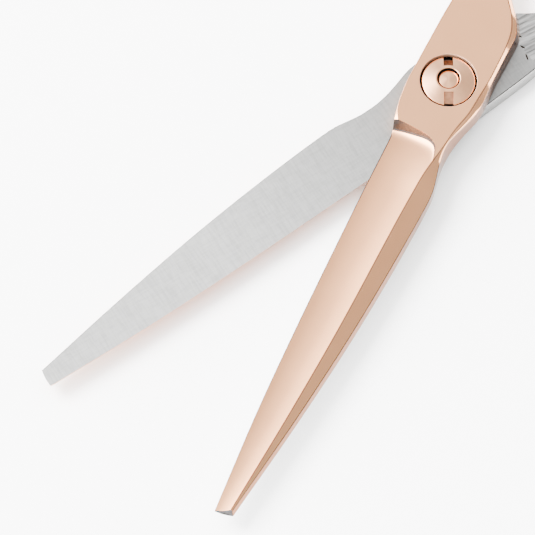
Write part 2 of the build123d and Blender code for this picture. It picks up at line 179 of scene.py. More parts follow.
# Outline and section lines of boss and blade, as (x, y) or (x, z).
CUT_BASE = [
    (BOSS_END, -4.54), (-12.0, -4.91), (-9.4, -5.06), (-6.0, -5.13), (-3.0, -5.19), (0.0, -5.23),
    (2.0, -5.27), (3.6, -5.16), (5.0, -5.03), (7.1, -4.7), (8.4, -4.42), (9.2, -4.24), (10.2, -4.11),
    (13.0, -4.05), (17.5, -4.0), (25.0, -3.86), (40.0, -3.45), (55.0, -2.8), (TIP, -1.58),
]
CUT_FLAT = [
    (BOSS_END, -4.35), (-12.0, -4.74), (-9.4, -4.9), (-6.0, -4.98), (-3.0, -5.06), (0.0, -5.1),
    (2.0, -5.12), (3.6, -5.06), (5.0, -4.94), (6.4, -4.73), (7.2, -4.52), (8.0, -4.12), (8.6, -3.72),
    (9.5, -3.5),
]
RIDGE_Y = [
    (BOSS_END, 0.9), (-15.0, 2.3), (-13.4, 3.54), (-12.0, 4.25), (-11.0, 4.66), (-9.4, 5.0), (-7.7, 5.15),
    (-6.0, 5.18), (-3.6, 5.21), (-2.0, 5.17), (0.0, 5.01), (2.0, 4.88), (3.0, 4.82), (4.35, 4.59),
    (5.8, 4.2), (7.7, 3.88), (9.3, 3.8), (10.7, 3.58), (12.0, 3.34), (14.6, 2.97), (17.6, 2.82),
    (20.9, 2.7), (25.0, 2.62), (40.0, 2.35), (55.0, 1.62), (TIP, 0.46),
]
RIDGE_Z = [
    (BOSS_END, 3.28), (10.0, 3.28), (12.0, 3.22), (14.0, 3.11), (17.5, 2.95), (25.0, 2.8), (40.0, 2.4),
    (55.0, 1.9), (TIP, 1.3),
]
SHOULDER_Y = [
    (BOSS_END, 1.6), (-15.0, 2.95), (-13.4, 4.2), (-12.0, 5.05), (-11.1, 5.45), (-9.5, 5.59),
    (-7.9, 5.57), (-5.5, 5.57), (-3.0, 5.58), (-1.0, 5.66), (0.5, 5.78), (2.0, 5.7), (3.6, 5.38),
    (5.0, 4.98), (6.5, 4.52), (7.7, 4.14), (9.2, 3.9), (10.5, 4.0), (12.0, 4.28), (13.5, 4.65),
    (15.6, 5.1), (17.2, 5.22), (21.5, 5.12), (25.0, 4.98), (40.0, 4.14), (55.0, 2.7), (TIP, 0.64),
]
SHOULDER_Z = [
    (BOSS_END, 2.75), (0.0, 2.72), (2.0, 2.66), (4.0, 2.55), (6.0, 2.65), (7.7, 2.9), (9.2, 3.18),
    (10.5, 2.95), (12.0, 2.5), (13.5, 2.2), (15.6, 1.95), (17.5, 1.75), (25.0, 1.55), (40.0, 1.35),
    (55.0, 1.22), (TIP, 1.09),
]
SPINE_BASE = [
    (BOSS_END, 2.2), (-15.5, 3.26), (-14.3, 4.33), (-13.2, 5.05), (-12.3, 5.5), (-11.3, 5.88),
    (-10.2, 5.98), (-9.2, 5.98), (-6.8, 5.93), (-4.4, 5.87), (-1.9, 5.92), (0.4, 6.03), (2.0, 5.98),
    (2.8, 5.85), (5.3, 5.18), (7.6, 4.68), (9.9, 4.5), (12.0, 4.56), (14.0, 4.9), (16.0, 5.28),
    (17.5, 5.38), (21.0, 5.36), (25.0, 5.25), (40.0, 4.45), (55.0, 3.0), (TIP, 0.98),
]
# The heel, where the hollow grind stops at the boss: y, then x of its top edge, the lean of its wall
# as a share of the drop, and how far its fillet runs out on to the hollow.
HEEL = [
    (-4.6, 8.6, 0.26, 0.8), (-3.64, 8.55, 0.18, 1.0), (-2.53, 8.6, 0.12, 1.2), (-1.07, 8.74, 0.07, 1.3),
    (0.67, 8.86, 0.05, 1.5), (1.79, 9.2, 0.05, 1.5), (2.43, 9.62, 0.05, 1.4), (2.85, 10.2, 0.05, 1.3),
    (3.1, 11.2, 0.05, 1.1), (3.4, 12.2, 0.05, 0.9),
]
HEEL_X = 8.7  # where the heel lies on average, and where its fillet ends
HEEL_END = 10.0
HEEL_FROM = 4.6  # the boss's columns start to follow the heel here
HEEL_SPREAD = 9.0  # the columns are straight again this far in front of the heel
HEEL_SWEEP = 0.6  # how much further out the heel lies with each row from the seventh on
HEEL_DROP = 2.6  # about how far the heel's wall drops, and how far its foot columns count it
HEEL_FOOT_DROP = 2.0
# Rows of a loop round a half: 0 the cutting line on the mating plane, 1 above it, 2 to 9 across the top,
# 10 the ridge, 13 the shoulder, 14 down the side, and 15 to 23 from the spine back across the inner face.
ROWS = 24
RIDGE_ROW = 10
SHOULDER_ROW = 13
SPINE_ROW = 15
HOLLOW_SHARES = [0.0, 0.07, 0.19, 0.31, 0.43, 0.55, 0.67, 0.79, 0.90, 1.0]  # rows 1 to 10
BOSS_COLUMNS = [BOSS_END, -16.2, -15.5, -14.7, -13.9, -13.1, -12.4, -11.8, -11.3, -10.8, -10.2, -9.3, -8.2]
BOSS_COLUMNS += [*range(-7, 8), 7.8, 8.4]
BLADE_COLUMNS = [10.5, 11.1, 11.8, 12.6, 13.4, 14.2, 15.0, 15.9, 16.8, 17.8, 19.0, 20.5, 22.5]
BLADE_COLUMNS += [*(25 + 2.5 * i for i in range(17)), 67.0, 68.8, 70.2, 71.05, TIP]
BEVEL = 0.10  # rounding of the lines, by row as a share of it
BEVEL_SHARES = {0: 1.0, 2: 0.4, RIDGE_ROW: 1.1, SHOULDER_ROW: 0.9, SPINE_ROW: 0.9}
NECK_BULGE = 0.22  # the rim's bevel swells this much between boss and blade
TIP_ROUND = 0.45  # how much shorter a blade is at its spine, over the last part of its length
TIP_ROUND_FROM = 66.0
TIP_LEAN = 0.42  # how far the end face leans back over each mm of its height
HEEL_WALL_STEPS = 4  # columns of the heel's wall, before its fillet
HEEL_STEPS = [("wall", 0.0), ("wall", 0.5), ("wall", 1.0)] + [("fillet", v / 5) for v in range(1, 6)]


def hollow_z(x, y):
    """Height of the hollow grind."""
    edge, ridge = along(CUT_BASE, x), along(RIDGE_Y, x)
    share = (y - edge) / (ridge - edge)
    rise = along(RIDGE_Z, x) - LAND_Z
    sag = HOLLOW_SAG * (ridge - edge)
    return LAND_Z + rise * share - 4 * sag * share * (1 - share)


def top_y(x, row):
    """Where rows 1 to 10 run, across the boss flat and then the hollow."""
    edge, ridge = along(CUT_BASE, x), along(RIDGE_Y, x)
    if row == 1:
        return edge
    in_hollow = mix(edge, ridge, HOLLOW_SHARES[1])
    first = mix(along(CUT_FLAT, x), in_hollow, ease(x, HEEL_X - 0.2, HEEL_END + 1.0))
    share = (HOLLOW_SHARES[row - 1] - HOLLOW_SHARES[1]) / (1 - HOLLOW_SHARES[1])
    return mix(first, ridge, share)


def heel_row(row):
    """Top edge x, wall lean and fillet length of the heel along one row of the loop."""
    if 1 <= row <= RIDGE_ROW:
        y = top_y(HEEL_X + HEEL_SWEEP * max(0, row - 6), row)
        return tuple(along(HEEL, y, column) for column in (1, 2, 3))
    cut_x, ridge_x, spine_x = HEEL[0][1], HEEL[-1][1], HEEL_X + 0.6
    if RIDGE_ROW < row <= SPINE_ROW:
        return mix(ridge_x, spine_x, (row - RIDGE_ROW) / (SPINE_ROW - RIDGE_ROW)), 0.05, 1.0
    around = ((row - SPINE_ROW) % ROWS) / (ROWS - SPINE_ROW)
    return mix(spine_x, cut_x, around), 0.1, 1.0


def half_point(x, row, dropped):
    """A point of the loop: dropped is 0 on the boss, 1 on the blade, and between them on the heel."""
    if row == 0:
        return x, along(CUT_BASE, x), INNER_Z
    if row == 1:
        return x, along(CUT_BASE, x), mix(along(WALL_Z, x), LAND_Z, dropped)
    if row < RIDGE_ROW:
        y = top_y(x, row)
        return x, y, mix(FLAT_Z, min(hollow_z(x, y), FLAT_Z), dropped)
    ridge_y, ridge_z = along(RIDGE_Y, x), along(RIDGE_Z, x)
    if row == RIDGE_ROW:
        return x, ridge_y, ridge_z
    shoulder_y, shoulder_z = along(SHOULDER_Y, x), along(SHOULDER_Z, x)
    base = along(SPINE_BASE, x)
    if row < SHOULDER_ROW:
        share = (row - RIDGE_ROW) / (SHOULDER_ROW - RIDGE_ROW)
        bulge = NECK_BULGE * ease(x, 1.0, 4.0) * (1 - ease(x, 7.0, 9.2))
        return x, mix(ridge_y, shoulder_y, share) + bulge, mix(ridge_z, shoulder_z, share) + bulge * 0.5
    if row == SHOULDER_ROW:
        return x, shoulder_y, shoulder_z
    if row < SPINE_ROW:
        return x, mix(shoulder_y, base, 0.55), mix(shoulder_z, INNER_Z, 0.5)
    share = (row - SPINE_ROW) / (ROWS - SPINE_ROW)
    return x, mix(base, along(CUT_BASE, x), share), INNER_Z


def half_columns():
    """Loops of the boss and blade, each as (kind, x it stands for, points)."""
    loops = []
    for nominal in BOSS_COLUMNS:
        pull = ease(nominal, HEEL_FROM, HEEL_X)
        loop = []
        for row in range(ROWS):
            x = nominal + (heel_row(row)[0] - HEEL_X) * pull
            loop.append(half_point(x, row, 0.0))
        loops.append(("boss", nominal, loop))
    for kind, at in HEEL_STEPS:
        loop = []
        for row in range(ROWS):
            edge_x, lean, fillet = heel_row(row)
            foot_x = edge_x + lean * HEEL_DROP
            y = top_y(foot_x, row) if 1 <= row <= RIDGE_ROW else 0.0
            drop = WALL_Z[-1][1] - LAND_Z if row == 1 else max(FLAT_Z - hollow_z(foot_x, y), 0.05)
            run = lean * drop
            up_wall = min(0.75 * fillet, 0.8 * drop)
            start = 1 - up_wall / drop
            if kind == "wall":
                s, dropped = run * start * at, start * at
            else:
                s = run * start * (1 - at) ** 2 + 2 * at * (1 - at) * run + at * at * (run + fillet)
                dropped = start * (1 - at) ** 2 + 2 * at * (1 - at) + at * at
            loop.append(half_point(edge_x + s, row, dropped))
        loops.append(("edge" if (kind, at) == ("wall", 0.0) else "heel", HEEL_X, loop))
    for nominal in BLADE_COLUMNS:
        pull = 1 - ease(nominal, HEEL_END, HEEL_END + HEEL_SPREAD)
        loop = []
        for row in range(ROWS):
            edge_x, lean, fillet = heel_row(row)
            end_x = edge_x + lean * HEEL_FOOT_DROP + fillet
            x = nominal + (end_x - HEEL_END) * pull
            _, y, z = half_point(x, row, 1.0)
            across = (y - along(CUT_BASE, x)) / (along(SPINE_BASE, x) - along(CUT_BASE, x))
            x -= (TIP_ROUND * across**2 + TIP_LEAN * z) * ease(nominal, TIP_ROUND_FROM, TIP)
            loop.append(half_point(x, row, 1.0))
        loops.append(("blade", nominal, loop))
    return loops


# ---- shank and ring ----
# Share of the way from boss to ring, then the shank's width and the heights of its two faces.
SHANK = [
    (0.00, 6.8, 0.10, 3.20), (0.20, 6.6, 0.08, 3.24), (0.40, 6.1, -0.10, 3.15), (0.55, 5.9, -1.30, 3.00),
    (0.70, 5.9, -2.40, 2.90), (0.85, 5.6, -2.70, 2.80), (1.00, 3.0, -2.70, 2.80),
]
# Finishes of a half, by material slot.
COAT, BARE, WALL, SEAT, HEEL_WALL, LINE, GROUND, TIP_END, PAINTED_SHADE_LINE, SIDE, PAINTED_REFLECTION_LINE = range(11)
SIDE_FROM = 1.6  # the blade's outer band starts here
GROUND_TO = -10.6  # the inner face is coarsely ground from here back
SHANK_CORNER = 0.42  # rounding of its corners as a share of its thinner side
# Where its loops lie, as shares of the way.
SHANK_SHARES = [0.135, 0.17, 0.21, 0.26, 0.31, 0.36, 0.42, 0.48, 0.54, 0.60, 0.66, 0.71, 0.75]
SHANK_START = Vector((-13.5, -1.4))
SHANK_START_LEAD = Vector((-11.5, -1.6))
SHANK_AIM = 62.0  # where round the ring the shank's middle line ends, in degrees
SHANK_END = 13.2  # and how far from the ring's centre
SHANK_END_LEAD = Vector((14.0, -0.1))
# Ring section: distance from the ring's centre and height, from the outer middle over the top.
RING_SECTION = [
    (14.87, 0.0), (14.87, 1.15), (14.83, 2.22), (14.30, 3.08), (13.25, 3.33), (12.30, 3.10), (11.70, 2.25),
    (11.62, 1.15), (11.62, 0.0),
]
RING_SECTION += [(r, -z) for r, z in reversed(RING_SECTION[1:-1])]
SEGMENTS = 60
SEGMENT = 360 / SEGMENTS
JOIN_FROM, JOIN_TO = 3, 11  # ring segments the shank flows into, from 18 to 66 degrees
REST_FROM, REST_TO = 29, 33  # ring segments of the finger rest's boss, about 186 degrees
REST_TURN = 186.0
SIDE_ROWS = [2, 1, 0, 15, 14]  # ring section rows from the top of the outer wall to its bottom
OPEN_ROWS = {14, 15, 0, 1}  # and the rows of faces between them
RING_ROWS = len(RING_SECTION)
RING_SWELL = 1.0018  # makes up for what the subdivision takes off the ring
# The rest's boss, outward from the ring and then down its bore: distance from the centre, then radius.
REST_BOSS = [
    (15.45, 2.95), (16.0, 2.62), (16.62, 2.52), (16.72, 2.40), (16.72, 1.62), (16.62, 1.52), (14.5, 1.52),
    (12.75, 1.52),
]
REST_BOSS_SWELL = 1.013  # the same for the boss's circles


def shank_middle(ring_x, share):
    """Point and heading on the shank's middle line."""
    aim = math.radians(SHANK_AIM)
    end = Vector((ring_x, RING_Y)) + Vector((math.cos(aim), math.sin(aim))) * SHANK_END
    p = [SHANK_START, SHANK_START + SHANK_START_LEAD, end + SHANK_END_LEAD, end]
    s = 1 - share
    at = p[0] * s**3 + p[1] * 3 * s * s * share + p[2] * 3 * s * share**2 + p[3] * share**3
    run = (p[1] - p[0]) * s * s + (p[2] - p[1]) * 2 * s * share + (p[3] - p[2]) * share**2
    return at, math.atan2(run.y, run.x)


def shank_loop(width, low, high):
    """Rounded section as (aside, height) points in the loop's row order."""
    half, corner = width / 2, SHANK_CORNER * min(width, high - low)
    cut = 0.29 * corner  # how far a corner's middle point lies inside the square corner
    points = {2: (-half + cut, high - cut), 10: (half - cut, high - cut)}
    points[14], points[22] = (half - cut, low + cut), (-half + cut, low + cut)
    for row in range(3, 10):
        points[row] = (mix(-half + corner, half - corner, (row - 3) / 6), high)
    for row in range(11, 14):
        points[row] = (half, mix(high - corner, low + corner, (row - 11) / 2))
    for row in range(15, 22):
        points[row] = (mix(half - corner, -half + corner, (row - 15) / 6), low)
    for row, share in ((23, 0.0), (0, 0.5), (1, 1.0)):
        points[row] = (-half, mix(low + corner, high - corner, share))
    return [points[row] for row in range(ROWS)]


def ring_spot(ring_x, angle, reach, height):
    """Point on the ring, by its angle and distance from the ring's centre."""
    a = math.radians(angle)
    return ring_x + reach * math.cos(a), RING_Y + reach * math.sin(a), height


def shank_columns(ring_x, end_loop):
    """Loops along the shank, which leave the section of the boss's end loop by degrees."""
    end_middle = (end_loop[0][1] + end_loop[SPINE_ROW][1]) / 2
    columns = []
    for share in SHANK_SHARES:
        at, heading = shank_middle(ring_x, share)
        aside = Vector((math.sin(heading), -math.cos(heading)))
        width, low, high = (along(SHANK, share, column) for column in (1, 2, 3))
        blend = ease(share, SHANK_SHARES[0] - 0.04, 0.34)
        loop = []
        for row, (a, z) in enumerate(shank_loop(width, low, high)):
            boss_a = (end_loop[row][1] - end_middle) * width / SHANK[0][1]
            a, z = mix(boss_a, a, blend), mix(end_loop[row][2], z, blend)
            spot = at + aside * a
            loop.append((spot.x, spot.y, z))
        columns.append(("shank", 1 - blend, loop))
    return columns


def face_finish(kind, at, row, heel_step, wall_zone):
    """Finish of a face in front of a row, between a column and the one before it."""
    # The heel's wall takes painted shade.
    if kind == "heel" and 1 <= row < RIDGE_ROW and heel_step <= HEEL_WALL_STEPS:
        return HEEL_WALL
    wall_rows, wall_from, wall_to = wall_zone
    if row in wall_rows and kind in ("boss", "edge") and wall_from < at < wall_to:
        return WALL
    # The blade's outer band takes painted shade.
    if SHOULDER_ROW <= row < SPINE_ROW and at > SIDE_FROM:
        return SIDE
    if row >= SPINE_ROW and kind != "shank":
        return GROUND if at + (row - SPINE_ROW) * 0.25 < GROUND_TO else BARE
    return COAT


def line_weights(kind, kind_before, at, row, fade):
    """Crease and bevel weight of the line along a row, between a column and the one before it."""
    sharp = fade if kind in ("boss", "shank") or kind_before == "shank" else 1.0
    if row == 2 and kind not in ("boss", "shank", "edge"):
        sharp = 0.0
    if row == SHOULDER_ROW and kind in ("boss", "edge", "heel"):
        sharp = sharp * (1 - ease(at, 1.5, 4.0)) if at < 8.6 else 0.0
    if row == 1:
        return sharp, mix(2.2, 1.2, ease(at, 20.0, 60.0)) if kind == "blade" else 0.4
    if sharp <= 0.95 or (row == 0 and kind != "boss"):
        return sharp, 0.0
    return sharp, BEVEL_SHARES[row]


def make_cage(name, ring_x, with_rest, wall_zone):
    """Low mesh of a whole half, as a loop cage for subdivision."""
    cage = bmesh.new()
    crease = cage.edges.layers.float.new("crease_edge")
    bevel = cage.edges.layers.float.new("bevel_weight_edge")
    columns = half_columns()
    loops = [*reversed(shank_columns(ring_x, columns[0][2])), *columns]
    rings = [[cage.verts.new(point) for point in loop] for _, _, loop in loops]
    edge_column = next(i for i, loop in enumerate(loops) if loop[0] == "edge")
    for i in range(len(rings) - 1):
        kind_before, at_before, _ = loops[i]
        kind, at, _ = loops[i + 1]
        fade = at_before if kind_before == "shank" else 1.0
        for row in range(ROWS):
            after = (row + 1) % ROWS
            face = cage.faces.new((rings[i][row], rings[i + 1][row], rings[i + 1][after], rings[i][after]))
            face.material_index = face_finish(kind, at, row, i + 1 - edge_column, wall_zone)
        for row in (0, 1, 2, RIDGE_ROW, SHOULDER_ROW, SPINE_ROW):
            edge = cage.edges.get((rings[i][row], rings[i + 1][row]))
            edge[crease], edge[bevel] = line_weights(kind, kind_before, at, row, fade)
    for row in range(RIDGE_ROW):
        edge = cage.edges.get((rings[edge_column][row], rings[edge_column][row + 1]))
        edge[crease] = 1.0
        edge[bevel] = 0.5 if row > 1 else 0.0
    tip = rings[-1]
    cage.faces.new(tip).material_index = TIP_END
    for row in range(ROWS):
        cage.edges.get((tip[row], tip[(row + 1) % ROWS]))[crease] = 0.9

    ring = {}

    def ring_vert(segment, row):
        """Point of the ring's skin, made when it is first asked for."""
        key = (segment % SEGMENTS, row % RING_ROWS)
        if key not in ring:
            reach, height = RING_SECTION[key[1]]
            ring[key] = cage.verts.new(ring_spot(ring_x, key[0] * SEGMENT, reach * RING_SWELL, height))
        return ring[key]

    for segment in range(SEGMENTS):
        joined = JOIN_FROM <= segment < JOIN_TO
        rested = with_rest and REST_FROM <= segment < REST_TO
        for row in range(RING_ROWS):
            if row in OPEN_ROWS and (joined or rested):
                continue
            corners = ((segment, row), (segment + 1, row), (segment + 1, row + 1), (segment, row + 1))
            cage.faces.new([ring_vert(*corner) for corner in corners])

    def opening(start, end):
        """The edge of an opening, from its start at the top, round to where it began."""
        width = end - start
        spots = [(start + i, SIDE_ROWS[0]) for i in range(width)]
        spots += [(end, row) for row in SIDE_ROWS[:-1]]
        spots += [(end - i, SIDE_ROWS[-1]) for i in range(width)]
        spots += [(start, row) for row in reversed(SIDE_ROWS[1:])]
        return [ring_vert(*spot) for spot in spots]

    def bridge(first, second):
        """Faces between two loops of the same count."""
        count = len(first)
        for i in range(count):
            j = (i + 1) % count
            cage.faces.new((first[i], first[j], second[j], second[i]))

    hole = opening(JOIN_FROM, JOIN_TO)
    shank_end = [rings[0][(row + 2) % ROWS] for row in range(ROWS)]
    between = [cage.verts.new(a.co.lerp(b.co, 0.5)) for a, b in zip(shank_end, hole)]
    bridge(shank_end, between)
    bridge(between, hole)
    if with_rest:
        previous = opening(REST_FROM, REST_TO)
        count = len(previous)
        middle = math.radians((REST_FROM + REST_TO) / 2 * SEGMENT)
        outward = Vector((math.cos(middle), math.sin(middle), 0))
        aside = Vector((-outward.y, outward.x, 0))
        centre = Vector((ring_x, RING_Y, 0))
        for reach, radius in REST_BOSS:
            loop = []
            for i in range(count):
                # each circle starts at the same top corner as the opening does
                angle = math.radians(135 - i * 360 / count)
                spot = centre + outward * reach + aside * radius * math.cos(angle) * REST_BOSS_SWELL
                spot.z = radius * math.sin(angle) * REST_BOSS_SWELL
                loop.append(cage.verts.new(spot))
            bridge(previous, loop)
            previous = loop
        cage.faces.new(previous)
    bmesh.ops.recalc_face_normals(cage, faces=cage.faces)
    mesh = bpy.data.meshes.new(name)
    cage.to_mesh(mesh)
    cage.free()
    return mesh


# ---- building ----
def turns(steps):
    """Angles of even steps round a circle."""
    return [2 * math.pi * i / steps for i in range(steps)]


def link(name, mesh):
    """Object of a mesh, in the scene."""
    made = bpy.data.objects.new(name, mesh)
    bpy.context.scene.collection.objects.link(made)
    return made


def link_work(name, work, frame_matrix):
    """Object of a bmesh that was drawn in a frame."""
    bmesh.ops.recalc_face_normals(work, faces=work.faces)
    work.transform(frame_matrix)
    mesh = bpy.data.meshes.new(name)
    work.to_mesh(mesh)
    work.free()
    return link(name, mesh)


def apply_modifiers(made):
    """Swap the object's mesh for its modified one."""
    graph = bpy.context.evaluated_depsgraph_get()
    graph.update()
    finished = bpy.data.meshes.new_from_object(made.evaluated_get(graph))
    old = made.data
    made.modifiers.clear()
    made.data = finished
    finished.name = made.name
    bpy.data.meshes.remove(old)


def subdivide(made, levels):
    smooth = made.modifiers.new("smooth", "SUBSURF")
    smooth.levels = levels
    smooth.render_levels = levels


def lathe(name, profile, steps, frame_matrix, closed=True, dark=()):
    """Turned solid: a (radius, height) profile round the frame's z axis.

    The stretches of the profile whose numbers are in dark take the second material.
    """
    work = bmesh.new()
    rings = []
    for radius, height in profile:
        if radius <= 1e-6:
            rings.append([work.verts.new((0, 0, height))])
            continue
        circle = [(radius * math.cos(a), radius * math.sin(a), height) for a in turns(steps)]
        rings.append([work.verts.new(point) for point in circle])
    pairs = list(zip(rings, rings[1:]))
    if closed:
        pairs.append((rings[-1], rings[0]))
    for number, (a, b) in enumerate(pairs):
        if len(a) == 1 and len(b) == 1:
            continue
        for i in range(steps):
            j = (i + 1) % steps
            if len(a) == 1:
                face = work.faces.new((a[0], b[j], b[i]))
            elif len(b) == 1:
                face = work.faces.new((a[i], a[j], b[0]))
            else:
                face = work.faces.new((a[i], a[j], b[j], b[i]))
            face.material_index = 1 if number in dark else 0
    return link_work(name, work, frame_matrix)


def prism(name, outline, low, high, frame_matrix):
    """Straight sided solid over an outline."""
    work = bmesh.new()
    bottom = [work.verts.new((x, y, low)) for x, y in outline]
    top = [work.verts.new((x, y, high)) for x, y in outline]
    work.faces.new(list(reversed(bottom)))
    work.faces.new(top)
    for i in range(len(outline)):
        j = (i + 1) % len(outline)
        work.faces.new((bottom[i], bottom[j], top[j], top[i]))
    return link_work(name, work, frame_matrix)


def cut(made, cutters):
    """Subtract the cutters, one after the other."""
    for cutter in cutters:
        modifier = made.modifiers.new("cut", "BOOLEAN")
        modifier.operation = "DIFFERENCE"
        modifier.solver = "EXACT"
        modifier.material_mode = "TRANSFER"
        modifier.object = cutter
        apply_modifiers(made)
        old = cutter.data
        bpy.data.objects.remove(cutter)
        bpy.data.meshes.remove(old)


def give(made, *materials):
    """Add materials. The walls that a cutting tool leaves take its own."""
    for material in materials:
        made.data.materials.append(material)
    return made


def shade(made, angle):
    """Smooth shading, but for edges sharper than an angle in degrees."""
    for polygon in made.data.polygons:
        polygon.use_smooth = True
    made.data.set_sharp_from_angle(angle=math.radians(angle))


def even_normals(made):
    """Let large faces rule the shading of the small bevels beside them."""
    modifier = made.modifiers.new("normals", "WEIGHTED_NORMAL")
    modifier.keep_sharp = True
    modifier.weight = 60
    apply_modifiers(made)


# ---- materials ----
class Tree:
    """The nodes of the sky or of a material."""

    def __init__(self, owner, shader):
        owner.use_nodes = True
        self.tree = owner.node_tree
        self.shader = self.tree.nodes[shader]

    def add(self, kind, values=None, **settings):
        """New node, with its settings and with constants on its sockets."""
        node = self.tree.nodes.new("ShaderNode" + kind)
        for name, value in settings.items():
            setattr(node, name, value)
        for name, value in (values or {}).items():
            node.inputs[name].default_value = value
        return node

    def join(self, output, socket):
        self.tree.links.new(output, socket)

    def ramp(self, factor, *stops):
        """Ramp over a factor between stops, each as (place, colour or grey)."""
        made = self.add("ValToRGB")
        while len(made.color_ramp.elements) < len(stops):
            made.color_ramp.elements.new(0.5)
        for element, (at, colour) in zip(made.color_ramp.elements, stops):
            element.position = at
            element.color = (colour,) * 3 + (1,) if isinstance(colour, float) else (*colour, 1)
        self.join(factor, made.inputs["Fac"])
        return made.outputs["Color"]


class Finish(Tree):
    """A material in the making."""

    def __init__(self, name, roughness):
        self.material = bpy.data.materials.new(name)
        super().__init__(self.material, "Principled BSDF")
        self.shader.inputs["Roughness"].default_value = roughness

    def coordinates(self, turn, along_scale, across_scale):
        """Object coordinates turned about Z, then stretched along the new x axis."""
        turned = self.add("Mapping", {"Rotation": (0, 0, math.radians(-turn))})
        stretched = self.add("Mapping", {"Scale": (along_scale, across_scale, across_scale)})
        self.join(self.add("TexCoord").outputs["Object"], turned.inputs["Vector"])
        self.join(turned.outputs["Vector"], stretched.inputs["Vector"])
        return stretched.outputs["Vector"]

    def drawn(self, turn, pitch_along, pitch_across, detail):
        """Noise drawn out along a heading."""
        noise = self.add("TexNoise", {"Scale": 1.0, "Detail": detail})
        self.join(self.coordinates(turn, 1 / pitch_along, 1 / pitch_across), noise.inputs["Vector"])
        return noise.outputs["Fac"]

    def grain(self, size, detail):
        """Even noise."""
        return self.drawn(0, size, size, detail)

    def bump(self, height, strength, distance):
        """Bump the surface, on top of any bump that is there."""
        bump = self.add("Bump", {"Strength": strength, "Distance": distance})
        normal = self.shader.inputs["Normal"]
        self.join(height, bump.inputs["Height"])
        if normal.is_linked:
            self.join(normal.links[0].from_socket, bump.inputs["Normal"])
        self.join(bump.outputs["Normal"], normal)

    def tint(self, colour):
        """Colour the surface, times any tint that is there."""
        base = self.shader.inputs["Base Color"]
        if base.is_linked:
            both = self.add("Mix", {"Factor": 1.0}, data_type="RGBA", blend_type="MULTIPLY")
            self.join(base.links[0].from_socket, both.inputs["A"])
            self.join(colour, both.inputs["B"])
            colour = both.outputs["Result"]
        self.join(colour, base)

    def turned_rings(self, pitch, strength):
        """The fine rings of a face turned round the pivot."""
        moved = self.add("Mapping", {"Location": tuple(-PIVOT)})
        values = {"Scale": WAVE_PITCH / pitch, "Distortion": 1.5, "Detail": 3.0, "Detail Scale": 2.0}
        rings = self.add("TexWave", values, wave_type="RINGS", rings_direction="Z")
        self.join(self.add("TexCoord").outputs["Object"], moved.inputs["Vector"])
        self.join(moved.outputs["Vector"], rings.inputs["Vector"])
        self.bump(rings.outputs["Fac"], strength, pitch * 0.2)


WAVE_PITCH = 0.314  # distance between the rings of a wave texture at scale 1


def metal(
    name, colour, roughness,
    lines=(), mottle=0.0, mottle_size=0.001, spread=0.0, streaks=(), fade=(), rings=(),
):
    """Metal with drawn lines, a mottled or streaked tint and a painted shade that fades along its length.

    Lines are sets of (turn, pitch along, pitch across, strength), streaks are sets of (turn, pitch along,
    pitch across, share), fade is (turn, start, end, share at the start) and rings is (pitch, strength), in
    degrees and metres. Mottle is how far the tint strays, and spread how far the roughness does.
    """
    finish = Finish(name, roughness)
    finish.shader.inputs["Base Color"].default_value = (*colour, 1)
    finish.shader.inputs["Metallic"].default_value = 1.0
    for turn, pitch_along, pitch_across, strength in lines:
        finish.bump(finish.drawn(turn, pitch_along, pitch_across, 3.0), strength, pitch_across * 0.25)
    if mottle:
        low = [channel * (1 - mottle) for channel in colour]
        high = [min(1.0, channel * (1 + mottle)) for channel in colour]
        finish.tint(finish.ramp(finish.grain(mottle_size, 5.0), (0.3, low), (0.7, high)))
    for turn, pitch_along, pitch_across, share in streaks:
        streak = finish.drawn(turn, pitch_along, pitch_across, 4.0)
        finish.tint(finish.ramp(streak, (0.32, 1 - share), (0.58, 1.0)))
    if fade:
        turn, start, end, share = fade
        parts = finish.add("SeparateXYZ")
        run = finish.add("MapRange", {"From Min": start, "From Max": end})
        finish.join(finish.coordinates(turn, 1, 1), parts.inputs["Vector"])
        finish.join(parts.outputs["X"], run.inputs["Value"])
        finish.tint(finish.ramp(run.outputs["Result"], (0.0, share), (1.0, 1.0)))
    if spread:
        low, high = roughness * (1 - spread), roughness * (1 + spread)
        wear = finish.ramp(finish.grain(mottle_size, 4.0), (0.3, low), (0.7, high))
        finish.join(wear, finish.shader.inputs["Roughness"])
    if rings:
        finish.turned_rings(*rings)
    return finish.material


def rubber(name, colour, roughness, grain):
    """Soft matt rubber with a fine moulded grain."""
    finish = Finish(name, roughness)
    finish.shader.inputs["Specular IOR Level"].default_value = 0.2
    finish.bump(finish.grain(grain, 4.0), 0.25, grain * 0.3)
    light = [channel * 1.35 for channel in colour]
    finish.tint(finish.ramp(finish.grain(grain * 30, 5.0), (0.35, colour), (0.7, light)))
    return finish.material


def coating(name, turn):
    """Polished rose gold coating, with faint polishing lines along and across a half."""
    lines = ((turn, 0.006, 0.00012, 0.05), (turn + 90, 0.004, 0.0003, 0.03))
    return metal(name, (0.87, 0.415, 0.205), 0.12, lines=lines, mottle=0.025, mottle_size=0.004, spread=0.18)


def satin(name, colour, turn, fade=None):
    """Satin steel of a half's inner face, with two crossed sets of grinding lines."""
    lines = ((turn + 68, 0.003, 0.00022, 0.30), (turn + 112, 0.003, 0.00030, 0.22))
    streaks = ((turn + 84, 0.0030, 0.00030, 0.14), (turn - 6, 0.0020, 0.00030, 0.10))
    return metal(
        name, colour, 0.46, lines=lines, mottle=0.03, mottle_size=0.0012, streaks=streaks, fade=fade
    )


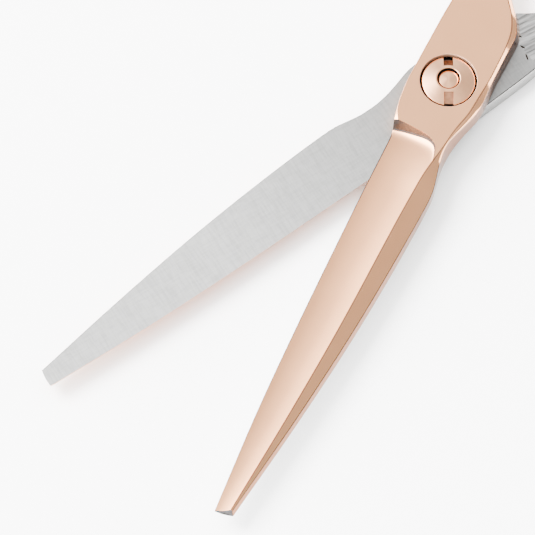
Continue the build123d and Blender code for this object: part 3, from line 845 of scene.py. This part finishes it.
HALF_TURN = OPENING / 2
SLOT_TURN = 39.1
slot_lines = ((SLOT_TURN, 0.002, 0.0002, 0.6),)
rose_gold = coating("rose_gold", HALF_TURN)
rose_gold_low = coating("rose_gold_low", -HALF_TURN)
bare_steel = satin("bare_steel", (0.70, 0.70, 0.685), HALF_TURN)
# Painted shade: the thumb half's inner face is darkened to 0.52 towards the boss and reaches full brightness
# along the blade.
painted_shade_fade = (-HALF_TURN, 0.010, 0.050, 0.52)
bare_steel_low = satin("bare_steel_low", (0.74, 0.74, 0.725), -HALF_TURN, painted_shade_fade)
ground_steel = metal(
    "ground_steel", (0.60, 0.60, 0.59), 0.42, lines=((159, 0.006, 0.00045, 0.9), (150, 0.004, 0.00025, 0.5)),
    mottle=0.06, mottle_size=0.0008, streaks=((159, 0.006, 0.00045, 0.65), (150, 0.004, 0.0003, 0.4)),
)
# Painted shade: the blade's end face is near black.
tip_end_painted_shade = metal("tip_end_painted_shade", (0.045, 0.043, 0.042), 0.20, mottle=0.7, mottle_size=0.0006)
# Painted shade: near black rounded lines along the cutting side and at the foot of the boss.
edge_painted_shade = metal("edge_painted_shade", (0.008, 0.006, 0.006), 0.35, mottle=0.2)
# Painted dark reflection: brown lines along the blade's shoulder and spine.
edge_painted_reflection = metal("edge_painted_reflection", (0.035, 0.015, 0.008), 0.25, mottle=0.2)
# Painted shade: the blade's outer band is a darker copy of the coating.
side_coat_painted_shade = metal(
    "side_coat_painted_shade", (0.23, 0.090, 0.038), 0.15,
    lines=((HALF_TURN, 0.006, 0.00012, 0.05),), mottle=0.03, mottle_size=0.004, spread=0.18,
)
# The finger half's side wall at the boss: partly its own ground brown with lengthwise streaks, partly painted
# shade darkening it further.
ground_wall_painted_shade = metal(
    "ground_wall_painted_shade", (0.115, 0.056, 0.035), 0.30,
    lines=((HALF_TURN, 0.012, 0.0006, 0.9),), mottle=0.25, mottle_size=0.0015,
)
bare_wall = metal(
    "bare_wall", (0.34, 0.34, 0.33), 0.42,
    lines=((-HALF_TURN, 0.010, 0.0004, 0.5),), mottle=0.06, mottle_size=0.004,
)
# Painted shade: the heel's wall is a near black copy of the coating.
heel_wall_painted_shade = metal(
    "heel_wall_painted_shade", (0.068, 0.053, 0.047), 0.5,
    lines=((HALF_TURN, 0.004, 0.0005, 0.5),), mottle=0.15,
)
# Painted dark reflection: a darker copy of the coating on the rounded lines.
edge_line_painted_reflection = metal("edge_line_painted_reflection", (0.33, 0.150, 0.075), 0.20, mottle=0.10)
# Painted light: a paler copy of the coating on the walls the cutters leave, so the nut's seat wall looks lit.
cut_wall_painted_light = metal("cut_wall_painted_light", (0.98, 0.62, 0.42), 0.62, mottle=0.05)
# Painted shade: near black on the nut's side wall in the gap, its relief and bore, the screw's pin and the
# slots' deep notches.
gap_and_thread_painted_shade = metal("gap_and_thread_painted_shade", (0.10, 0.08, 0.07), 0.5, mottle=0.15, mottle_size=0.0006)
# Painted shade in the deep gap round the nut's seat; it also gives the dents their own dark marks.
gap_shade_and_dent_marks = metal("gap_shade_and_dent_marks", (0.03, 0.02, 0.016), 0.5, mottle=0.15, mottle_size=0.0006)
slot_metal = metal("slot_metal", (0.42, 0.20, 0.11), 0.38, lines=slot_lines, mottle=0.2, mottle_size=0.0005)
# Painted shade: a darker copy of the slot metal for the far slot.
slot_painted_shade = metal("slot_painted_shade", (0.17, 0.068, 0.032), 0.38, lines=slot_lines, mottle=0.3, mottle_size=0.0005)
turned_metal = metal(
    "turned_metal", (0.90, 0.47, 0.26), 0.14,
    mottle=0.04, mottle_size=0.0007, spread=0.25, rings=(0.00009, 0.05),
)
spring_steel = metal("spring_steel", (0.45, 0.45, 0.46), 0.3, mottle=0.05, spread=0.2)
stud_steel = metal("stud_steel", (0.60, 0.60, 0.60), 0.25, mottle=0.04, spread=0.2)
brass = metal("brass", (0.80, 0.58, 0.25), 0.25, mottle=0.05, rings=(0.00012, 0.15))
plastic = rubber("bearing_plastic", (0.45, 0.44, 0.41), 0.45, 0.0003)
insert_rubber = rubber("insert_rubber", (0.0070, 0.0070, 0.0076), 0.55, 0.00025)
pad_rubber = rubber("pad_rubber", (0.0090, 0.0090, 0.0096), 0.50, 0.00025)
paper = Finish("paper", 0.9)
paper.shader.inputs["Base Color"].default_value = (0.9, 0.9, 0.9, 1)
floor_data.materials.append(paper.material)

# ---- sky ----
SKY_STRENGTH = 16.0
# Share of the way from the picture's left to its right, then how bright the sky is there.
SKY = [
    (0.0, 1.6), (0.06, 1.5), (0.12, 1.05), (0.18, 0.40), (0.24, 0.22), (0.30, 0.165), (0.345, 0.125),
    (0.42, 0.14), (0.5, 0.157), (0.68, 0.115), (0.86, 0.078), (0.94, 0.07), (1.0, 0.08),
]
world = bpy.data.worlds.new("studio")
bpy.context.scene.world = world
sky = Tree(world, "Background")
sky.shader.inputs["Strength"].default_value = SKY_STRENGTH
across = sky.add("VectorMath", {1: tuple(picture_right)}, operation="DOT_PRODUCT")
share = sky.add("Math", {1: 0.5, 2: 0.5}, operation="MULTIPLY_ADD")
sky.join(sky.add("TexCoord").outputs["Generated"], across.inputs[0])
sky.join(across.outputs["Value"], share.inputs[0])
sky.join(sky.ramp(share.outputs[0], *SKY), sky.shader.inputs["Color"])

# ---- the two halves ----
SEAT_FLOOR = 1.28  # the nut's seat
BUSH_BORE = 3.0
SEAT_LIP = [(4.06, 3.24), (4.065, 3.258), (4.08, 3.27), (4.10, 3.279), (4.14, 3.285), (4.24, 3.30)]
HEAD_FLOOR = 1.76  # the seat of the screw's head
HEAD_LIP = [(4.03, 3.18), (4.045, 3.22), (4.07, 3.25), (4.11, 3.27), (4.17, 3.285), (4.30, 3.30)]
POCKET_R = 4.8  # the glide washer's pocket
POCKET_TOP = 0.48
KEY_HOLE_R = 2.53  # the hole for the screw's flatted neck
KEY_HOLE_HALF = 2.13
TURN_STEPS = 160
# What both halves share. Each has its own coat, bare steel and wall.
HALF_FINISHES = {
    SEAT: cut_wall_painted_light, HEEL_WALL: heel_wall_painted_shade, LINE: edge_line_painted_reflection, GROUND: ground_steel,
    TIP_END: tip_end_painted_shade, PAINTED_SHADE_LINE: edge_painted_shade, SIDE: side_coat_painted_shade, PAINTED_REFLECTION_LINE: edge_painted_reflection,
}


def key_outline(radius, half_width):
    """A circle with two flats, at x = plus and minus half_width."""
    points = [(radius * math.cos(a), radius * math.sin(a)) for a in turns(48)]
    return [(max(-half_width, min(half_width, x)), y) for x, y in points]


def soften(made):
    """Round the lines that carry a bevel weight."""
    modifier = made.modifiers.new("bevel", "BEVEL")
    modifier.limit_method = "WEIGHT"
    modifier.width = BEVEL * MM
    modifier.segments = 3
    modifier.use_clamp_overlap = False
    modifier.loop_slide = True
    modifier.material = LINE


def line_finish(spot):
    """Finish of a rounded line at a spot in the half's frame."""
    # Painted shade on the lines of the cutting side and along the boss's foot.
    cutting_side = spot.y < -1 and spot.z < FLAT_Z - 0.04
    boss_foot = spot.y > 0 and spot.x < 12 and spot.z < 0.5
    if cutting_side or boss_foot:
        return PAINTED_SHADE_LINE
    # Painted dark reflection on the blade's lower lines.
    if spot.x > 12 and spot.z < mix(along(SHOULDER_Z, spot.x), along(RIDGE_Z, spot.x), 0.5):
        return PAINTED_REFLECTION_LINE
    # Every other line takes the paler painted dark reflection.
    return LINE


def make_half(name, frame_matrix, ring_x, with_rest, wall_zone, finishes):
    """One forged half, without its cuts. The wall zone is the loop rows and the x range of its side wall."""
    made = link(name, make_cage(name, ring_x, with_rest, wall_zone))
    made.data.transform(frame_matrix)
    finishes = finishes | HALF_FINISHES
    give(made, *(finishes[slot] for slot in sorted(finishes)))
    subdivide(made, 2)
    soften(made)
    apply_modifiers(made)
    into_half = frame_matrix.inverted()
    for face in made.data.polygons:
        if face.material_index == LINE:
            face.material_index = line_finish(into_half @ face.center)
    return made


finger_half = make_half(
    "finger_half_visual", FINGER_FRAME, FINGER_RING_X, with_rest=True, wall_zone=((13, 14), -10.9, 1.6),
    finishes={COAT: rose_gold, BARE: bare_steel, WALL: ground_wall_painted_shade},
)
thumb_half = make_half(
    "thumb_half_visual", THUMB_FRAME, THUMB_RING_X, with_rest=False, wall_zone=((0, 1), -17.5, 8.5),
    finishes={COAT: rose_gold_low, BARE: bare_steel_low, WALL: bare_wall},
)
seat_r = SEAT_LIP[0][0]
seat = [(0, -1), (BUSH_BORE, -1), (BUSH_BORE, SEAT_FLOOR), (seat_r, SEAT_FLOOR), (seat_r, 2.35), *SEAT_LIP]
seat += [(SEAT_LIP[-1][0], 5), (0, 5)]
# The seat's bore, floor and lower wall take painted shade, its upper wall and lip the painted light.
seat_cutter = lathe("cutter", seat, TURN_STEPS, FINGER_FRAME, closed=False, dark=(1, 2, 3))
cut(finger_half, [give(seat_cutter, cut_wall_painted_light, gap_shade_and_dent_marks)])
stud_turn = math.atan2(-2 * RING_Y, THUMB_RING_X - FINGER_RING_X)
STUD_HOLE_R = 1.01  # the silencer stud's hole, from inside the ring's hole out through its wall
STUD_HOLE_IN = 12.6
STUD_HOLE_OUT = 18


def spoke_frame(turn):
    """Frame at the finger ring's centre whose z axis points out through the ring, half frame angle."""
    spin = Matrix.Rotation(turn, 4, "Z") @ Matrix.Rotation(math.pi / 2, 4, "Y")
    return FINGER_FRAME @ Matrix.Translation((FINGER_RING_X, RING_Y, 0)) @ spin


PAD_FRAME = spoke_frame(stud_turn)
REST_FRAME = spoke_frame(math.radians(REST_TURN))
stud_hole = [(0, STUD_HOLE_IN), (STUD_HOLE_R, STUD_HOLE_IN), (STUD_HOLE_R, STUD_HOLE_OUT), (0, STUD_HOLE_OUT)]
cut(finger_half, [give(lathe("cutter", stud_hole, 32, PAD_FRAME, closed=False), cut_wall_painted_light)])
head_seat = [(0, HEAD_FLOOR), (HEAD_LIP[0][0], HEAD_FLOOR), *HEAD_LIP, (HEAD_LIP[-1][0], 5), (0, 5)]
pocket = [(0, -1), (POCKET_R, -1), (POCKET_R, POCKET_TOP), (0, POCKET_TOP)]
cut(
    thumb_half,
    [
        give(lathe("cutter", head_seat, TURN_STEPS, THUMB_FRAME, closed=False), cut_wall_painted_light),
        give(lathe("cutter", pocket, TURN_STEPS, THUMB_FRAME, closed=False), cut_wall_painted_light),
        give(prism("cutter", key_outline(KEY_HOLE_R, KEY_HOLE_HALF), 0, 2.2, THUMB_FRAME), cut_wall_painted_light),
    ],
)

# Small dents of the rough ground face: x, y, half length, half width, heading.
DENTS = [(-12.6, -1.2, 0.42, 0.13, 70), (-12.1, -2.8, 0.55, 0.12, 110), (-13.4, 0.3, 0.3, 0.1, 80)]
for x, y, long, wide, heading in DENTS:
    around = [(long * math.cos(a), wide * math.sin(a)) for a in turns(12)]
    place = THUMB_FRAME @ Matrix.Translation((x, y, 0)) @ Matrix.Rotation(math.radians(heading), 4, "Z")
    cut(thumb_half, [give(prism("cutter", around, -0.5, 0.13, place), gap_shade_and_dent_marks)])

# ---- pivot screw and tension nut ----
PIVOT_FRAME = Matrix.Translation(PIVOT) @ Matrix.Scale(MM, 4)
SCREW = [
    (0, -3.24), (3.70, -3.24), (3.86, -3.22), (3.95, -3.16), (3.99, -3.06), (4.00, -2.95), (4.00, -1.77),
    (2.50, -1.77), (2.50, 1.24), (2.44, 1.30), (1.36, 1.30), (1.36, 3.46), (1.35, 3.52), (1.31, 3.565),
    (1.22, 3.60), (0.30, 3.90), (0.16, 3.94), (0, 3.95),
]
# The screw's pin takes painted shade.
screw = lathe("pivot_screw_visual", SCREW, TURN_STEPS, PIVOT_FRAME, closed=False, dark=(10, 11))
give(screw, turned_metal, gap_and_thread_painted_shade)
HEX_CORNER = 1.25 / math.cos(math.pi / 6)  # from 1.25 mm to each flat
hexagon = [(HEX_CORNER * math.cos(a), HEX_CORNER * math.sin(a)) for a in turns(6)]
flat_box = [(2.10, -3), (3.2, -3), (3.2, 3), (2.10, 3)]
cut(
    screw,
    [
        give(prism("cutter", hexagon, -3.6, -2.16, PIVOT_FRAME), cut_wall_painted_light),
        give(prism("cutter", flat_box, 0.48, 1.765, THUMB_FRAME), cut_wall_painted_light),
        give(prism("cutter", [(-x, y) for x, y in reversed(flat_box)], 0.48, 1.765, THUMB_FRAME), cut_wall_painted_light),
    ],
)
CONE_TOP = (1.74, 3.98)  # radius and height of the line the nut's cone follows
CONE_FOOT = (3.68, 3.02)
NUT_SLOPE = math.atan2(CONE_TOP[1] - CONE_FOOT[1], CONE_FOOT[0] - CONE_TOP[0])
NUT = [
    (1.41, 1.74), (3.70, 1.74), (3.76, 1.80), (3.76, 2.93), (3.745, 2.975), (3.71, 3.01), (3.66, 3.045),
    (3.55, 3.10), (1.84, 3.935), (1.76, 3.965), (1.70, 3.965), (1.65, 3.94), (1.62, 3.90), (1.62, 3.50),
    (1.62, 2.62), (1.41, 2.42),
]
# The nut's bevel, side wall, relief and bore take painted shade.
nut = lathe("tension_nut_visual", NUT, TURN_STEPS, PIVOT_FRAME, dark=(1, 2, 13, 14, 15))
give(nut, turned_metal, gap_and_thread_painted_shade, slot_metal)
SLOT_HALF = 0.68
SLOT_DEPTH = 0.50
SLOT_CORNER = 0.10
SLOT_IN = 2.02
NOTCH_IN = 3.36  # the slots drop into deep notches at the nut's rim
NOTCH_FLOOR = 2.0


def slot_cutter(turn):
    """Straight groove of even depth below the nut's cone, open at its rim."""
    side_z, flat_half = SLOT_CORNER - SLOT_DEPTH, SLOT_HALF - SLOT_CORNER
    section = [(-SLOT_HALF, 1.5), (-SLOT_HALF, side_z), (-flat_half, -SLOT_DEPTH)]
    section += [(flat_half, -SLOT_DEPTH), (SLOT_HALF, side_z), (SLOT_HALF, 1.5)]
    place = (
        PIVOT_FRAME
        @ Matrix.Rotation(math.radians(turn), 4, "Z")
        @ Matrix.Translation((SLOT_IN, 0, CONE_TOP[1] - (SLOT_IN - CONE_TOP[0]) * math.tan(NUT_SLOPE)))
        @ Matrix.Rotation(NUT_SLOPE, 4, "Y")
        @ Matrix.Rotation(math.pi / 2, 4, "Z")
        @ Matrix.Rotation(math.pi / 2, 4, "X")
    )
    return prism("cutter", section, 0, 3.5, place)


def notch_cutter(turn):
    """Deep notch at the rim end of a slot."""
    outline = [(NOTCH_IN, -SLOT_HALF), (5, -SLOT_HALF), (5, SLOT_HALF), (NOTCH_IN, SLOT_HALF)]
    place = PIVOT_FRAME @ Matrix.Rotation(math.radians(turn), 4, "Z")
    return prism("cutter", outline, NOTCH_FLOOR, 4.5, place)


# The far slot takes the darker copy as painted shade.
for turn, finish in ((SLOT_TURN, slot_metal), (SLOT_TURN + 180, slot_painted_shade)):
    cut(nut, [give(slot_cutter(turn), finish), give(notch_cutter(turn), gap_and_thread_painted_shade)])

# ---- soft inserts ----
INSERT_TURN = math.radians(48)
CORNER_R = 1.41  # the arc that clears the ring's rounded inner corner, and its centre
CORNER_AT = (12.98, 1.90)


def insert_profile():
    """Crowned tube whose lips wrap over the ring's rounded inner corners."""
    half = [(10.30, 0.0), (10.33, 0.75), (10.42, 1.50), (10.58, 2.22), (10.80, 2.70), (11.05, 3.00)]
    half += [(11.25, 3.12), (11.50, 3.15), (11.80, 3.08), (11.98, 3.01)]
    for i in range(4, -1, -1):
        a = INSERT_TURN * i / 4
        half.append((CORNER_AT[0] - CORNER_R * math.cos(a), CORNER_AT[1] + CORNER_R * math.sin(a)))
    half.append((11.55, 0.0))
    return half + [(r, -z) for r, z in reversed(half[1:-1])]


def make_insert(name, frame_matrix, ring_x):
    """Soft insert of one ring."""
    place = frame_matrix @ Matrix.Translation((ring_x, RING_Y, 0))
    made = give(lathe(name, insert_profile(), 96, place), insert_rubber)
    subdivide(made, 1)
    apply_modifiers(made)
    return made


finger_insert = make_insert("finger_ring_insert_visual", FINGER_FRAME, FINGER_RING_X)
thumb_insert = make_insert("thumb_ring_insert_visual", THUMB_FRAME, THUMB_RING_X)

# ---- finger rest: a curved horn on a collar, with its stud in the ring's boss ----
REST_FOOT = 16.75  # from the ring's centre
REST_LENGTH = 17.0
REST_BEND = 21.0
REST_STUD_R = 1.45
REST_STEPS = 24
# Share of the horn's length, then its radius there.
REST_RADII = [
    (0.0, 2.30), (0.012, 2.38), (0.05, 2.38), (0.062, 2.30), (0.066, 2.12), (0.082, 2.06), (0.10, 2.10),
    (0.18, 2.04), (0.28, 1.94), (0.38, 1.83), (0.48, 1.76), (0.58, 1.75), (0.68, 1.79), (0.78, 1.84),
    (0.88, 1.82), (0.95, 1.74), (1.0, 1.58), (1.035, 1.32), (1.062, 0.95), (1.078, 0.50),
]


def rest_loop(share, radius):
    """Loop round the horn's middle line, an arc that bends away from the thumb."""
    swept = share * REST_LENGTH / REST_BEND
    along_z = REST_FOOT + REST_BEND * math.sin(swept)
    aside = REST_BEND * (1 - math.cos(swept))
    points = []
    for a in turns(REST_STEPS):
        out, rise = radius * math.cos(a), radius * math.sin(a)
        points.append((rise, aside + out * math.cos(swept), along_z - out * math.sin(swept)))
    return points


def stud_loop(height):
    """Loop round the rest's straight stud."""
    return [(REST_STUD_R * math.sin(a), REST_STUD_R * math.cos(a), height) for a in turns(REST_STEPS)]


def make_rest():
    """The finger rest with its stud."""
    work = bmesh.new()
    creases = work.edges.layers.float.new("crease_edge")
    loops = [stud_loop(height) for height in (12.85, 16.0, 16.74)]
    loops += [rest_loop(share, radius) for share, radius in REST_RADII]
    rings = [[work.verts.new(point) for point in loop] for loop in loops]
    for a, b in zip(rings, rings[1:]):
        for i in range(REST_STEPS):
            j = (i + 1) % REST_STEPS
            work.faces.new((a[i], a[j], b[j], b[i]))
    work.faces.new(rings[0])
    work.faces.new(rings[-1])
    for ring in (rings[0], rings[2], rings[3]):
        for i in range(REST_STEPS):
            work.edges.get((ring[i], ring[(i + 1) % REST_STEPS]))[creases] = 0.6
    made = give(link_work("finger_rest_visual", work, REST_FRAME), rose_gold)
    subdivide(made, 2)
    apply_modifiers(made)
    return made


rest = make_rest()

# ---- silencer pad ----
PAD = [
    (1.01, 15.02), (2.16, 14.99), (2.26, 15.06), (2.30, 15.20), (2.30, 17.9), (2.28, 18.0), (2.22, 18.05),
    (2.22, 18.35), (2.28, 18.40), (2.30, 18.5), (2.30, 19.42), (2.26, 19.72), (2.12, 20.0), (1.88, 20.2),
    (1.55, 20.30), (1.0, 20.33), (0, 20.34), (0, 18.19), (1.01, 18.19),
]
pad = give(lathe("silencer_pad_visual", PAD, 64, PAD_FRAME), pad_rubber)

# ---- attach to the bodies and hide the CAD parts: piece, body, CAD node, material slot and sharpest smooth edge ----
for made, body, node, slot, angle in (
    (finger_half, "finger_side", "finger_half", "coated_steel", 28),
    (thumb_half, "thumb_side", "thumb_half", "coated_steel", 28),
    (screw, "thumb_side", "pivot_screw", "coated_nut", 28),
    (nut, "nut", "tension_nut", "coated_nut", 28),
    (finger_insert, "finger_side", "finger_ring_insert", "soft_insert", 50),
    (thumb_insert, "thumb_side", "thumb_ring_insert", "soft_insert", 50),
    (rest, "finger_side", "finger_rest", "coated_steel", 50),
    (pad, "finger_side", "silencer_pad", "soft_pad", 50),
):
    shade(made, angle)
    if made in (finger_half, thumb_half, screw, nut):
        even_normals(made)
    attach(made, body)
    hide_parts(node)

CAD_FINISH = {
    "finger_half": rose_gold,
    "thumb_half": rose_gold_low,
    "pivot_screw": turned_metal,
    "tension_nut": turned_metal,
    "finger_rest": rose_gold,
    "disc_spring": spring_steel,
    "friction_washer": plastic,
    "glide_washer": plastic,
    "pivot_bush": brass,
    "finger_ring_insert": insert_rubber,
    "thumb_ring_insert": insert_rubber,
    "silencer_stud": stud_steel,
    "silencer_pad": pad_rubber,
}
for name, node in frame["nodes"].items():
    node.data.materials.clear()
    give(node, CAD_FINISH[name])
